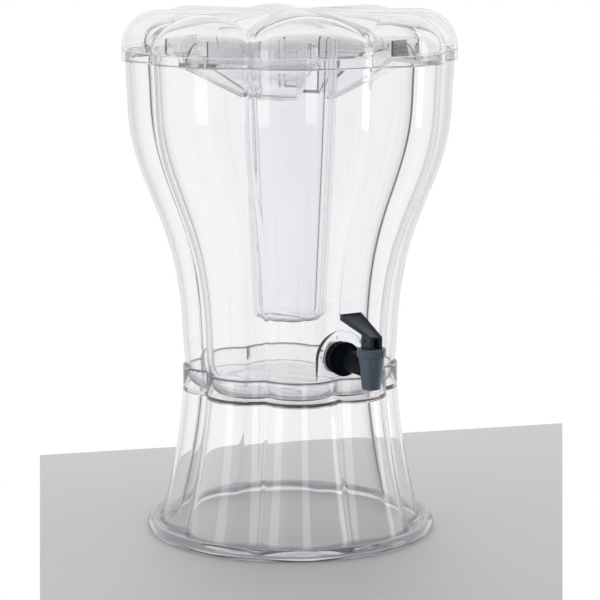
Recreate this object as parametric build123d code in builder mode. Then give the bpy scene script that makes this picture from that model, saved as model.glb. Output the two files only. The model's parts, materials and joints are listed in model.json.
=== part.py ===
"""Fluted acrylic beverage dispenser: pedestal base, tulip tank, hanging ice tube, petal lid and spigot.

Millimetres, +Z up. The origin is on the table under the centre of the base, and the spigot faces -Y.
The flutes run through base, tank and lid in line, with one flute on the spigot's side.
"""

import math
import os

from build123d import *

os.makedirs("parts", exist_ok=True)

# Fluting that base, tank and lid share
lobe_count = 8
flute_depth = 11.0
flute_blend = 5.0  # radius in the bottom of a flute, on the tank's outer face

# Pedestal base
base_wall = 2.8
foot_radius = 134.0
foot_bead_radius = 5.5
foot_land_depth = 0.3  # how far the round bead is cut flat where it stands
foot_plate = 3.2
skirt_foot_crest = 123.6
skirt_middle_crest = 107.9
skirt_waist_crest = 100.0
deck_height = 136.0
deck_thickness = 3.4
collar_depth = 19.2
collar_wall = 2.5

# Tank
tank_wall = 3.0
tank_floor = 3.4
tank_corner = 14.0
tank_height = 309.0
tank_mouth_crest = 150.4
seat_clearance = 0.5  # tank to collar
ledge_drop = 8.0  # from the tank's rim to the ledge that carries the ice tube
rim_wall = 1.4
# The tulip flare from the collar's rim to the mouth, as shares of its height and of its swell
flare = [(0, 0), (0.038, 0.032), (0.146, 0.066), (0.309, 0.174), (0.5, 0.491)]
flare += [(0.691, 0.865), (0.854, 0.970), (0.962, 0.997), (1, 1)]

# Lid
lid_wall = 2.4
lid_clearance = 0.5  # skirt to tank
lid_overlap = 9.0  # how far the skirt hangs below the tank's rim
lid_crown = 36.0  # from the tank's rim to the top of the lobes
lid_shoulder = 34.0  # radius of the bend from the side to the top
lid_step = 2.5  # height of the inner step that sits on the rim

# Ice tube and the arms that hang it in the tank's mouth
tube_wall = 2.2
tube_rise = 12.0  # mouth above the tank's rim
tube_length = 259.0
tube_corner = 8.0
tube_mouth_crest = 45.5
tube_foot_crest = 34.4
tube_flute_depth = 3.0
tube_flute_blend = 4.0
arm_count = 4
arm_spread = 49.6  # degrees
arm_wall = 2.2
arm_root_drop = 55.0  # from the tube's mouth to the lowest point of an arm
trough_radius = 116.0  # outer face of the wall that ends the trough
fin_reach = 139.6
fin_corner = 17.0
hanger_plate = 3.0
hanger_lip = 2.2
hanger_clearance = 0.3

# Spigot
spigot_height = 174.5
spigot_reach = 141.6  # centre of the dispenser to the spigot's barrel
pad_distance = 91.5  # centre of the dispenser to the flat pad that the spigot is bolted to
pad_half_width = 22.0
pad_wall = 4.0
pad_gap = 1.5  # pad above the collar's rim
flange_radius = 15.5
flange_thickness = 4.5
flange_cone = 3.0
gasket_thickness = 2.0
gasket_inset = 0.8
neck_radius = 8.8
neck_length = 13.0
shank_radius = 9.8
thread_radius = 8.0
thread_length = 16.0  # shank past the inner face of the pad
thread_clearance = 0.05
hole_clearance = 0.4
waterway_radius = 5.0
nut_flats = 26.0
nut_thickness = 9.0
barrel_drop = 19.0  # from the shank's axis to the outlet
barrel_shoulder = 0.2  # barrel's top above the shank
barrel_top_radius = 11.2
barrel_bottom_radius = 8.2
barrel_round = 1.6
chamber_radius = 7.4
seat_drop = 10.5  # from the shank's axis to the valve seat
outlet_radius = 4.6
boss_radius = 9.6  # barrel's boss inside the bonnet
boss_height = 4.5
bonnet_flats = 24.0
bonnet_height = 7.6
bonnet_chamfer = 0.8
bonnet_clearance = 0.2
stem_radius = 2.5
stem_foot_radius = 4.0
stem_foot_height = 2.0
stem_head = 2.0  # stem above the lever's pin
stem_clearance = 0.1
cup_clearance = 0.3
cup_tip_radius = 6.4
cup_tip_height = 4.0
cup_shoulder_height = 9.0
cup_neck_radius = 5.4
cup_rim_height = 3.0
cup_wall = 1.4

# Lever
lever_gap = 0.3  # post above the bonnet
lever_front = 8.0  # barrel's axis to the post's front
lever_back = 8.0  # barrel's axis to the post's back
lever_tip_gap = 9.6  # tank's seat to the thumb plate's tip
lever_front_rise = 10.4
lever_tip_rise = 25.3
lever_tip_thickness = 5.3
lever_root_thickness = 3.6
lever_front_width = 12.0
lever_tip_width = 22.0
lever_round = 4.0
lever_border = 1.8
lever_tray = 1.0
slot_clearance = 0.4  # each side of the stem
slot_height = 9.0
slot_back = 5.4  # barrel's axis to the slot's end
pin_rise = 6.0
pin_radius = 1.25
pin_clearance = 0.03

# Levels and places that follow from the sizes above
half_pitch = 180.0 / lobe_count
collar_rim = deck_height + collar_depth
collar_crest = skirt_waist_crest
tank_seat_crest = collar_crest - collar_wall - seat_clearance
tank_rim = deck_height + tank_height
ledge_level = tank_rim - ledge_drop
lid_crest = tank_mouth_crest + lid_clearance + lid_wall
lid_skirt_bottom = tank_rim - lid_overlap
lid_top = tank_rim + lid_crown
tube_top = tank_rim + tube_rise
tube_bottom = tube_top - tube_length
arm_root = tube_top - arm_root_drop
half_spread = arm_spread / 2
hanger_crest = tank_mouth_crest - rim_wall - hanger_clearance
pad_bottom = collar_rim + pad_gap
pad_inside = pad_distance - pad_wall
flange_back = pad_distance + gasket_thickness
flange_front = flange_back + flange_thickness
thread_end = pad_inside - thread_length
gasket_radius = flange_radius - gasket_inset
barrel_top = spigot_height + shank_radius + barrel_shoulder
barrel_bottom = spigot_height - barrel_drop
seat_level = spigot_height - seat_drop
boss_top = barrel_top + boss_height
bonnet_top = barrel_top + bonnet_height
lever_base = bonnet_top + lever_gap
pin_level = lever_base + pin_rise
stem_bottom = seat_level + cup_tip_height
stem_top = pin_level + stem_head
barrel_axis = Axis((0, -spigot_reach, 0), (0, 0, 1))
shank_axis = Axis((0, 0, spigot_height), (0, -1, 0))
barrel_plane = Plane.XZ.offset(spigot_reach)


def lobe_radius_of(crest, depth, blend):
    """Radius of the lobes of a fluted outline whose flutes have the given depth and bottom radius."""
    cos_half = math.cos(math.radians(half_pitch))
    groove = crest - depth + blend
    across = groove**2 - 2 * groove * crest * cos_half + crest**2 - blend**2
    return across / (2 * (blend + crest - groove * cos_half))


def fluted_section(level, crest, depth=flute_depth, blend=flute_blend):
    """Closed outline of lobe arcs joined by tangent flute arcs, at one level."""
    half = math.radians(half_pitch)
    lobe_radius = lobe_radius_of(crest, depth, blend)
    lobe_center = crest - lobe_radius
    groove_center = crest - depth + blend
    share = lobe_radius / (lobe_radius + blend)
    touch_x = lobe_center + share * (groove_center * math.cos(half) - lobe_center)
    touch_y = share * groove_center * math.sin(half)
    lobe_start, lobe_end = Vector(touch_x, -touch_y), Vector(touch_x, touch_y)
    with BuildSketch(Plane.XY.offset(level)) as section:
        with BuildLine():
            for lobe in range(lobe_count):
                turn = half_pitch * (2 * lobe + 1)
                start = lobe_start.rotate(Axis.Z, turn)
                end = lobe_end.rotate(Axis.Z, turn)
                following = lobe_start.rotate(Axis.Z, turn + 2 * half_pitch)
                crest_point = Vector(crest, 0).rotate(Axis.Z, turn)
                flute_point = Vector(crest - depth, 0).rotate(Axis.Z, turn + half_pitch)
                ThreePointArc(start, crest_point, end)
                ThreePointArc(end, flute_point, following)
        make_face()
    return section.sketch


def corner_stations(floor_level, crest, corner):
    """Levels and crests up a rounded bottom corner, from the floor to the upright wall."""
    angles = [math.radians(turn) for turn in (15, 40, 65, 90)]
    center = floor_level + corner * math.cos(angles[0])
    return [(center - corner * math.cos(a), crest - corner * (1 - math.sin(a))) for a in angles]


def fluted_solid(stations, depth, blend):
    """Smooth solid through fluted sections at the given levels and crests."""
    with BuildPart() as solid:
        loft([fluted_section(level, crest, depth, blend) for level, crest in stations])
    return solid.part


def tank_solid(inset, floor_level):
    """Solid inside the tank's outer face, or inside its inner face at the given inset from it."""
    seat_crest = tank_seat_crest - inset
    corner = corner_stations(floor_level, seat_crest, tank_corner - inset)
    rise, swell = tank_rim - collar_rim, tank_mouth_crest - tank_seat_crest
    tulip = [(collar_rim + rise * up, seat_crest + swell * out) for up, out in flare]
    with BuildPart() as solid:
        for stations in (corner, [corner[-1], tulip[0]], tulip):
            add(fluted_solid(stations, flute_depth, flute_blend + inset))
    return solid.part


def tube_solid(inset, floor_level):
    """Solid inside the ice tube's outer face, or inside its bore at the given inset from it."""
    corner = corner_stations(floor_level, tube_foot_crest - inset, tube_corner - inset)
    taper = [corner[-1], (tube_top, tube_mouth_crest - inset)]
    with BuildPart() as solid:
        for stations in (corner, taper):
            add(fluted_solid(stations, tube_flute_depth, tube_flute_blend + inset))
    return solid.part


def petal_dome(inset):
    """Solid under the lid's lobes: each lobe rises, bends over the shoulder and runs in to the centre."""
    outer_blend = flute_blend - lid_clearance - lid_wall
    radius = lobe_radius_of(lid_crest, flute_depth, outer_blend) - inset
    crest = lid_crest - inset
    center = crest - radius
    shoulder = lid_shoulder - inset
    bend_x = crest - shoulder
    bend_z = lid_top - lid_shoulder
    half_width = math.sqrt(radius**2 - (bend_x - center) ** 2)
    side = crest * math.tan(math.radians(half_pitch))
    with BuildPart() as petal:
        with BuildSketch(Plane.XY.offset(lid_skirt_bottom)):
            with Locations((center, 0)):
                Circle(radius)
        extrude(amount=bend_z - lid_skirt_bottom)
        with BuildSketch(Plane.XY.offset(bend_z)):
            with BuildLine():
                ThreePointArc((bend_x, -half_width), (crest, 0), (bend_x, half_width))
                Line((bend_x, half_width), (bend_x, -half_width))
            make_face()
        revolve(axis=Axis((bend_x, 0, bend_z), (0, -1, 0)), revolution_arc=90)
        with BuildSketch(Plane.YZ.offset(bend_x)):
            with BuildLine():
                ThreePointArc((-half_width, bend_z), (0, bend_z + shoulder), (half_width, bend_z))
                Line((half_width, bend_z), (-half_width, bend_z))
            make_face()
        extrude(amount=-bend_x)
        with BuildSketch(Plane.XY.offset(lid_skirt_bottom)):
            Polygon((0, 0), (crest, -side), (crest, side), align=None)
        extrude(amount=lid_top - lid_skirt_bottom, mode=Mode.INTERSECT)
    with BuildPart() as dome:
        with PolarLocations(0, lobe_count, start_angle=half_pitch):
            add(petal.part)
    return dome.part


def sector(level, inner, outer, inset=0.0):
    """Plan of an arm about +X between two radii, its straight sides moved in by the inset."""
    half = math.radians(half_spread)
    apex = inset / math.sin(half)
    far_x, far_y = 2 * outer * math.cos(half), 2 * outer * math.sin(half)
    with BuildSketch(Plane.XY.offset(level)) as plan:
        Circle(outer)
        Circle(inner, mode=Mode.SUBTRACT)
        wedge = [(apex, 0), (apex + far_x, -far_y), (apex + far_x, far_y)]
        Polygon(*wedge, align=None, mode=Mode.INTERSECT)
    return plan.sketch


def pad_outline(distance, half_width):
    """Arched outline of the spigot's pad, upright at a distance from the dispenser's centre."""
    with BuildSketch(Plane.XZ.offset(distance)) as outline:
        with Locations((0, spigot_height)):
            Circle(half_width)
        with Locations((0, pad_bottom)):
            Rectangle(2 * half_width, spigot_height - pad_bottom, align=(Align.CENTER, Align.MIN))
        with Locations((0, pad_bottom)):
            Rectangle(4 * half_width, 4 * half_width, align=(Align.CENTER, Align.MAX), mode=Mode.SUBTRACT)
    return outline.sketch


def washer(distance, thickness, radius, bore):
    """Ring round the spigot's shank, from a distance outwards by its thickness."""
    with BuildPart() as ring:
        with BuildSketch(Plane.XZ.offset(distance)):
            with Locations((0, spigot_height)):
                Circle(radius)
                Circle(bore, mode=Mode.SUBTRACT)
        extrude(amount=thickness)
    return ring.part


# Pedestal base: fluted skirt on a round foot bead, with a deck and a collar for the tank
bead_level = foot_bead_radius - foot_land_depth
bead_center = foot_radius - foot_bead_radius
plate_level = bead_level - foot_plate / 2
skirt_middle = (deck_height + bead_level) / 2
plate_inner = skirt_foot_crest - 2 * flute_depth
with BuildPart() as base_pedestal:
    skirt = [
        (plate_level, skirt_foot_crest),
        (skirt_middle, skirt_middle_crest),
        (deck_height, collar_crest),
    ]
    loft([fluted_section(level, crest) for level, crest in skirt])
    extrude(fluted_section(deck_height, collar_crest), amount=collar_depth)
    with BuildSketch(Plane.XZ):
        with Locations((bead_center, bead_level)):
            Circle(foot_bead_radius)
        with Locations((plate_inner, plate_level)):
            Rectangle(bead_center - plate_inner, foot_plate, align=(Align.MIN, Align.MIN))
        Rectangle(2 * foot_radius, foot_radius, align=(Align.MIN, Align.MAX), mode=Mode.SUBTRACT)
    revolve(axis=Axis.Z)
    hollow = skirt[:2] + [(deck_height - deck_thickness, collar_crest)]
    hollow_blend = flute_blend + base_wall
    loft(
        [fluted_section(level, crest - base_wall, blend=hollow_blend) for level, crest in hollow],
        mode=Mode.SUBTRACT,
    )
    seat = fluted_section(deck_height, collar_crest - collar_wall, blend=flute_blend + collar_wall)
    extrude(seat, amount=collar_depth, mode=Mode.SUBTRACT)
base_pedestal.part.label = "base_pedestal"
export_step(base_pedestal.part, "parts/base_pedestal.step")

# Tank: fluted tulip shell with a ledge inside its mouth and a flat pad for the spigot
tank_outside = tank_solid(0, deck_height)
with BuildPart() as pad_frame:
    extrude(pad_outline(pad_distance, pad_half_width + tank_wall), amount=tank_mouth_crest - pad_distance)
    add(tank_outside, mode=Mode.INTERSECT)

with BuildPart() as tank:
    add(tank_outside)
    add(tank_solid(tank_wall, deck_height + tank_floor), mode=Mode.SUBTRACT)
    ledge = fluted_section(ledge_level, tank_mouth_crest - rim_wall, blend=flute_blend + rim_wall)
    extrude(ledge, amount=ledge_drop, mode=Mode.SUBTRACT)
    add(pad_frame.part)
    extrude(pad_outline(pad_distance, pad_half_width + tank_wall), amount=-pad_wall)
    extrude(
        pad_outline(pad_distance, pad_half_width),
        amount=tank_mouth_crest - pad_distance,
        mode=Mode.SUBTRACT,
    )
    extrude(pad_outline(pad_inside, pad_half_width - pad_wall), amount=-flute_depth, mode=Mode.SUBTRACT)
    with BuildSketch(Plane.XZ.offset(pad_inside)):
        with Locations((0, spigot_height)):
            Circle(thread_radius + hole_clearance)
    extrude(amount=pad_wall, mode=Mode.SUBTRACT)
tank.part.label = "tank"
export_step(tank.part, "parts/tank.step")

# Lid: petal dome whose skirt hangs round the tank's mouth and whose inner step sits on its rim
with BuildPart() as lid:
    add(petal_dome(0))
    add(petal_dome(lid_wall), mode=Mode.SUBTRACT)
    extrude(fluted_section(tank_rim, lid_crest - lid_wall / 2), amount=lid_step)
    step_bore = fluted_section(tank_rim, tank_mouth_crest - rim_wall, blend=flute_blend + rim_wall)
    extrude(step_bore, amount=lid_step, mode=Mode.SUBTRACT)
    bore_crest = tank_mouth_crest + lid_clearance
    skirt_bore = fluted_section(lid_skirt_bottom, bore_crest, blend=flute_blend - lid_clearance)
    extrude(skirt_bore, amount=lid_overlap, mode=Mode.SUBTRACT)
lid.part.label = "lid"
export_step(lid.part, "parts/lid.step")

# Arm of the ice tube along +X: a block whose underside slopes up from the tube to the ledge
with BuildPart() as arm_block:
    extrude(sector(arm_root, tube_foot_crest, fin_reach), amount=arm_root_drop)
    with BuildSketch(Plane.XZ) as arm_side:
        with BuildLine():
            Polyline(
                (0, arm_root),
                (tube_mouth_crest, arm_root),
                (trough_radius, ledge_level),
                (trough_radius, ledge_level + hanger_plate),
                (fin_reach, ledge_level + hanger_plate),
                (fin_reach, tube_top),
                (0, tube_top),
                close=True,
            )
        make_face()
        fillet(arm_side.vertices().group_by(Axis.X)[-1].sort_by(Axis.Y)[-1], fin_corner)
    revolve(axis=Axis.Z, mode=Mode.INTERSECT)

# Hollow of the arm's trough, between its side walls and above its sloping floor
with BuildPart() as arm_trough:
    trough_plan = sector(arm_root, tube_foot_crest, trough_radius - arm_wall, arm_wall)
    extrude(trough_plan, amount=arm_root_drop)
    with BuildSketch(Plane.XZ):
        with BuildLine():
            Polyline(
                (0, arm_root + hanger_plate),
                (tube_mouth_crest, arm_root + hanger_plate),
                (trough_radius, ledge_level + hanger_plate),
                (trough_radius, tube_top),
                (0, tube_top),
                close=True,
            )
        make_face()
    revolve(axis=Axis.Z, mode=Mode.INTERSECT)

# Foot of the arm: a plate and a lip that follow the tank's fluted rim
with BuildPart() as arm_foot:
    hanger_blend = flute_blend + rim_wall + hanger_clearance
    extrude(fluted_section(ledge_level, hanger_crest, blend=hanger_blend), amount=ledge_drop)
    lip_bore = fluted_section(
        ledge_level + hanger_plate,
        hanger_crest - hanger_lip,
        blend=hanger_blend + hanger_lip,
    )
    extrude(lip_bore, amount=ledge_drop, mode=Mode.SUBTRACT)
    foot_plan = sector(ledge_level, trough_radius - arm_wall / 2, tank_mouth_crest)
    extrude(foot_plan, amount=ledge_drop, mode=Mode.INTERSECT)

with BuildPart() as arm:
    add(arm_block.part)
    add(arm_trough.part, mode=Mode.SUBTRACT)
    bay = sector(ledge_level + hanger_plate, trough_radius, tank_mouth_crest, arm_wall)
    extrude(bay, amount=arm_root_drop, mode=Mode.SUBTRACT)
    add(arm_foot.part)

# Ice tube: fluted tube closed at the bottom, hung by its troughed arms on the tank's ledge
with BuildPart() as ice_tube:
    add(tube_solid(0, tube_bottom))
    with PolarLocations(0, arm_count, start_angle=180 / arm_count):
        add(arm.part)
    add(tube_solid(tube_wall, tube_bottom + tube_wall), mode=Mode.SUBTRACT)
ice_tube.part.label = "ice_tube"
export_step(ice_tube.part, "parts/ice_tube.step")

# Spigot body: upright barrel on a flanged shank, with the waterway and the valve chamber bored out
with BuildPart() as spigot_body:
    with BuildSketch(Plane.YZ):
        with BuildLine():
            Polyline(
                (-thread_end, spigot_height),
                (-thread_end, spigot_height + thread_radius),
                (-flange_back, spigot_height + thread_radius),
                (-flange_back, spigot_height + flange_radius),
                (-flange_front, spigot_height + flange_radius),
                (-flange_front, spigot_height + neck_radius + flange_cone),
                (-flange_front - flange_cone, spigot_height + neck_radius),
                (-flange_front - neck_length, spigot_height + neck_radius),
                (-flange_front - neck_length, spigot_height + shank_radius),
                (-spigot_reach, spigot_height + shank_radius),
                (-spigot_reach, spigot_height),
                close=True,
            )
        make_face()
    revolve(axis=shank_axis)
    with BuildSketch(barrel_plane):
        with BuildLine():
            Polyline(
                (0, barrel_bottom),
                (barrel_bottom_radius, barrel_bottom),
                (barrel_top_radius, barrel_top),
                (boss_radius, barrel_top),
                (boss_radius, boss_top),
                (0, boss_top),
                close=True,
            )
        make_face()
    revolve(axis=barrel_axis)
    fillet(spigot_body.edges().group_by(Axis.Z)[0], barrel_round)
    with BuildSketch(barrel_plane):
        Polygon(
            (0, barrel_bottom),
            (outlet_radius, barrel_bottom),
            (outlet_radius, seat_level),
            (chamber_radius, seat_level),
            (chamber_radius, boss_top),
            (0, boss_top),
            align=None,
        )
    revolve(axis=barrel_axis, mode=Mode.SUBTRACT)
    with BuildSketch(Plane.XZ.offset(thread_end)):
        with Locations((0, spigot_height)):
            Circle(waterway_radius)
    extrude(amount=spigot_reach - thread_end, mode=Mode.SUBTRACT)
spigot_body.part.label = "spigot_body"
export_step(spigot_body.part, "parts/spigot_body.step")

# Gaskets on both sides of the pad, and the nut that pulls the flange against them
gasket_bore = thread_radius + thread_clearance
outer_gasket = washer(pad_distance, gasket_thickness, gasket_radius, gasket_bore)
outer_gasket.label = "outer_gasket"
export_step(outer_gasket, "parts/outer_gasket.step")

inner_gasket = washer(pad_inside - gasket_thickness, gasket_thickness, gasket_radius, gasket_bore)
inner_gasket.label = "inner_gasket"
export_step(inner_gasket, "parts/inner_gasket.step")

nut_distance = pad_inside - gasket_thickness - nut_thickness
with BuildPart() as lock_nut:
    with BuildSketch(Plane.XZ.offset(nut_distance)):
        with Locations((0, spigot_height)):
            RegularPolygon(nut_flats / 2, 6, major_radius=False)
            Circle(thread_radius + thread_clearance, mode=Mode.SUBTRACT)
    extrude(amount=nut_thickness)
lock_nut.part.label = "lock_nut"
export_step(lock_nut.part, "parts/lock_nut.step")

# Bonnet: eight-sided cap over the barrel's boss, with a hole for the stem
with BuildPart() as spigot_bonnet:
    with BuildSketch(Plane.XY.offset(barrel_top)):
        with Locations((0, -spigot_reach)):
            RegularPolygon(bonnet_flats / 2, 8, major_radius=False, rotation=half_pitch)
    extrude(amount=bonnet_height)
    chamfer(spigot_bonnet.faces().sort_by(Axis.Z)[-1].edges(), bonnet_chamfer)
    with BuildSketch(Plane.XY.offset(barrel_top)):
        with Locations((0, -spigot_reach)):
            Circle(boss_radius + bonnet_clearance)
    extrude(amount=boss_height + bonnet_clearance, mode=Mode.SUBTRACT)
    with BuildSketch(Plane.XY.offset(barrel_top)):
        with Locations((0, -spigot_reach)):
            Circle(stem_radius + stem_clearance)
    extrude(amount=bonnet_height, mode=Mode.SUBTRACT)
spigot_bonnet.part.label = "spigot_bonnet"
export_step(spigot_bonnet.part, "parts/spigot_bonnet.step")

# Stem: rod through the bonnet, its foot held in the seat cup, its head drilled for the lever's pin
with BuildPart() as spigot_stem:
    with BuildSketch(barrel_plane):
        Polygon(
            (0, stem_bottom),
            (stem_foot_radius, stem_bottom),
            (stem_foot_radius, stem_bottom + stem_foot_height),
            (stem_radius, stem_bottom + stem_foot_height),
            (stem_radius, stem_top),
            (0, stem_top),
            align=None,
        )
    revolve(axis=barrel_axis)
    with BuildSketch(Plane.YZ.offset(-stem_radius)):
        with Locations((-spigot_reach, pin_level)):
            Circle(pin_radius + pin_clearance)
    extrude(amount=2 * stem_radius, mode=Mode.SUBTRACT)
spigot_stem.part.label = "spigot_stem"
export_step(spigot_stem.part, "parts/spigot_stem.step")

# Seat cup: rubber bell that closes the outlet, folds as the stem rises and presses it shut again
cup_bottom = seat_level
cup_top = boss_top - cup_clearance
cup_rim_radius = chamber_radius - cup_clearance
cup_shoulder = cup_bottom + cup_shoulder_height
socket = stem_radius + pin_clearance
foot_socket = stem_foot_radius + pin_clearance
with BuildPart() as seat_cup:
    with BuildSketch(barrel_plane):
        Polygon(
            (0, cup_bottom),
            (cup_tip_radius, cup_bottom),
            (cup_tip_radius, cup_shoulder - cup_wall),
            (cup_neck_radius, cup_shoulder),
            (cup_neck_radius, cup_top - 2 * cup_rim_height),
            (cup_rim_radius, cup_top - cup_rim_height),
            (cup_rim_radius, cup_top),
            (cup_rim_radius - cup_wall, cup_top),
            (cup_rim_radius - cup_wall, cup_top - cup_rim_height),
            (cup_neck_radius - cup_wall, cup_top - 2 * cup_rim_height),
            (cup_neck_radius - cup_wall, cup_shoulder),
            (socket, cup_shoulder),
            (socket, stem_bottom + stem_foot_height),
            (foot_socket, stem_bottom + stem_foot_height),
            (foot_socket, stem_bottom),
            (0, stem_bottom),
            align=None,
        )
    revolve(axis=barrel_axis)
seat_cup.part.label = "seat_cup"
export_step(seat_cup.part, "parts/seat_cup.step")

# Lever: slotted post that stands on the bonnet, with a thumb plate that widens and rises towards the tank
front_y, back_y = -spigot_reach - lever_front, -spigot_reach + lever_back
tip_y = -tank_seat_crest - lever_tip_gap
front_top = lever_base + lever_front_rise
tip_top = lever_base + lever_tip_rise
slope = (tip_top - front_top) / (tip_y - front_y)
back_top = front_top + slope * (back_y - front_y)
thumb_plane = Plane(origin=(0, front_y, front_top), x_dir=(1, 0, 0), z_dir=(0, -slope, 1))
thumb_length = math.hypot(tip_y - front_y, tip_top - front_top)
with BuildPart() as lever:
    with BuildSketch(Plane.YZ):
        Polygon(
            (front_y, lever_base),
            (back_y, lever_base),
            (back_y, back_top - lever_root_thickness),
            (tip_y, tip_top - lever_tip_thickness),
            (tip_y, tip_top),
            (front_y, front_top),
            align=None,
        )
    extrude(amount=lever_tip_width, both=True)
    with BuildSketch(Plane.XY.offset(lever_base)):
        Polygon(
            (-lever_front_width / 2, front_y),
            (lever_front_width / 2, front_y),
            (lever_tip_width / 2, tip_y),
            (-lever_tip_width / 2, tip_y),
            align=None,
        )
    extrude(amount=lever_tip_rise, mode=Mode.INTERSECT)
    fillet(lever.edges().filter_by(Axis.Z).group_by(Axis.Y)[1], lever_round)
    with BuildSketch(thumb_plane):
        Polygon(
            (-lever_front_width / 2, 0),
            (lever_front_width / 2, 0),
            (lever_tip_width / 2, thumb_length),
            (-lever_tip_width / 2, thumb_length),
            align=None,
        )
        offset(amount=-lever_border, kind=Kind.INTERSECTION)
    extrude(amount=-lever_tray, mode=Mode.SUBTRACT)
    slot_half = stem_radius + slot_clearance
    with BuildSketch(Plane.XY.offset(lever_base)):
        with Locations((0, -spigot_reach + slot_back)):
            Rectangle(2 * slot_half, slot_back + lever_front, align=(Align.CENTER, Align.MAX))
    extrude(amount=slot_height, mode=Mode.SUBTRACT)
    with BuildSketch(Plane.YZ.offset(-lever_tip_width / 2)):
        with Locations((-spigot_reach, pin_level)):
            Circle(pin_radius + pin_clearance)
    extrude(amount=lever_tip_width, mode=Mode.SUBTRACT)
lever.part.label = "lever"
export_step(lever.part, "parts/lever.step")

# Pin through the lever's cheeks and the stem's head
with BuildPart() as lever_pin:
    with BuildSketch(Plane.YZ.offset(-lever_front_width / 2)):
        with Locations((-spigot_reach, pin_level)):
            Circle(pin_radius)
    extrude(amount=lever_front_width)
lever_pin.part.label = "lever_pin"
export_step(lever_pin.part, "parts/lever_pin.step")
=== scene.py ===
# Clear fluted drink dispenser with a black lever tap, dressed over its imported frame
import json
import math

import bmesh
import bpy
import numpy as np
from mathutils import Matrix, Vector

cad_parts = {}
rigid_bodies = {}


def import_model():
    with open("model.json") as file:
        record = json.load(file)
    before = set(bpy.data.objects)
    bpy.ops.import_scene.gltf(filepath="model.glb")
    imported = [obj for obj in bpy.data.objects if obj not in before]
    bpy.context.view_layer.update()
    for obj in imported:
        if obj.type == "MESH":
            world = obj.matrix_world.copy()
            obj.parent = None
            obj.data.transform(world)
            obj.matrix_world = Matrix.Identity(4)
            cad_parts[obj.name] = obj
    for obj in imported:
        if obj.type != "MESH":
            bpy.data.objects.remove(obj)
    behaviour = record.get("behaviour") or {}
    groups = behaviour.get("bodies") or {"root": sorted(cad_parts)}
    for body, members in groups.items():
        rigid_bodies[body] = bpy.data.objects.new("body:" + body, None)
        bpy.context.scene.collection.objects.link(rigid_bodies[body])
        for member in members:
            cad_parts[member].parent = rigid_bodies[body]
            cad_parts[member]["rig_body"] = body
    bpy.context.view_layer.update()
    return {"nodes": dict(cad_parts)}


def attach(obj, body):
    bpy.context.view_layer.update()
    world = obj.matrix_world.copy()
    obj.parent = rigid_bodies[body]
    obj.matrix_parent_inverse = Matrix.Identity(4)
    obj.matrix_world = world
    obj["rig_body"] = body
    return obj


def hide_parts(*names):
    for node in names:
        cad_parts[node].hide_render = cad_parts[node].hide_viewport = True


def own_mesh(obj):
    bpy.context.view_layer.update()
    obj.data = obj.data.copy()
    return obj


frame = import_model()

nodes = frame["nodes"]
scene = bpy.context.scene
mm = 0.001  # pieces are written in millimetres
print("frame loaded,", len(nodes), "nodes")


# a new material with an empty tree, and its output
def emptyMaterial(name):
    material = bpy.data.materials.new(name)
    material.use_nodes = True
    tree = material.node_tree
    tree.nodes.clear()
    return material, tree, tree.nodes.new("ShaderNodeOutputMaterial")


# new shader nodes of the given kinds, in the same order
def newNodes(tree, *kinds):
    return [tree.nodes.new("ShaderNode" + kind) for kind in kinds]


skinDetail = {"Ripple": 1.0, "Grain": 3.0}


# moulded skin: slow ripple and fine grain as one height, and a roughness that drifts with the ripple
def mouldedSkinGroup():
    group = bpy.data.node_groups.new("mouldedSkin", "ShaderNodeTree")
    sockets = group.interface
    for socket in ("Ripple Scale", "Grain Scale", "Grain Share", "Roughness", "Roughness Drift"):
        sockets.new_socket(socket, in_out="INPUT", socket_type="NodeSocketFloat")
    for socket in ("Height", "Roughness"):
        sockets.new_socket(socket, in_out="OUTPUT", socket_type="NodeSocketFloat")
    make, link = group.nodes.new, group.links.new
    given, made = make("NodeGroupInput"), make("NodeGroupOutput")
    place, ripple, grain, height, drift = newNodes(group, "TexCoord", "TexNoise", "TexNoise", "Mix", "Math")
    for noise, name in ((ripple, "Ripple"), (grain, "Grain")):
        noise.inputs["Detail"].default_value = skinDetail[name]
        link(place.outputs["Object"], noise.inputs["Vector"])
        link(given.outputs[name + " Scale"], noise.inputs["Scale"])
    link(given.outputs["Grain Share"], height.inputs["Factor"])
    link(ripple.outputs["Fac"], height.inputs["A"])
    link(grain.outputs["Fac"], height.inputs["B"])
    drift.operation = "MULTIPLY_ADD"
    link(ripple.outputs["Fac"], drift.inputs[0])
    link(given.outputs["Roughness Drift"], drift.inputs[1])
    link(given.outputs["Roughness"], drift.inputs[2])
    link(height.outputs["Result"], made.inputs["Height"])
    link(drift.outputs["Value"], made.inputs["Roughness"])
    return group


mouldedSkin = mouldedSkinGroup()


# places the moulded skin in a material: roughness straight in, height through a bump
def addMouldedSkin(tree, shader, look):
    skin = tree.nodes.new("ShaderNodeGroup")
    skin.node_tree = mouldedSkin
    for socket, value in look["skin"].items():
        skin.inputs[socket].default_value = value
    bump = tree.nodes.new("ShaderNodeBump")
    bump.inputs["Strength"].default_value = look["bumpStrength"]
    bump.inputs["Distance"].default_value = look["bumpDepth"]
    tree.links.new(skin.outputs["Height"], bump.inputs["Height"])
    tree.links.new(skin.outputs["Roughness"], shader.inputs["Roughness"])
    tree.links.new(bump.outputs["Normal"], shader.inputs["Normal"])


# smooth share, from nothing at one level of the object to all at another, in millimetres
def shareUp(tree, start, end):
    place, split, rise = newNodes(tree, "TexCoord", "SeparateXYZ", "MapRange")
    rise.interpolation_type = "SMOOTHSTEP"
    rise.inputs["From Min"].default_value, rise.inputs["From Max"].default_value = start * mm, end * mm
    tree.links.new(place.outputs["Object"], split.inputs["Vector"])
    tree.links.new(split.outputs["Z"], rise.inputs["Value"])
    return rise.outputs["Result"]


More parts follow.
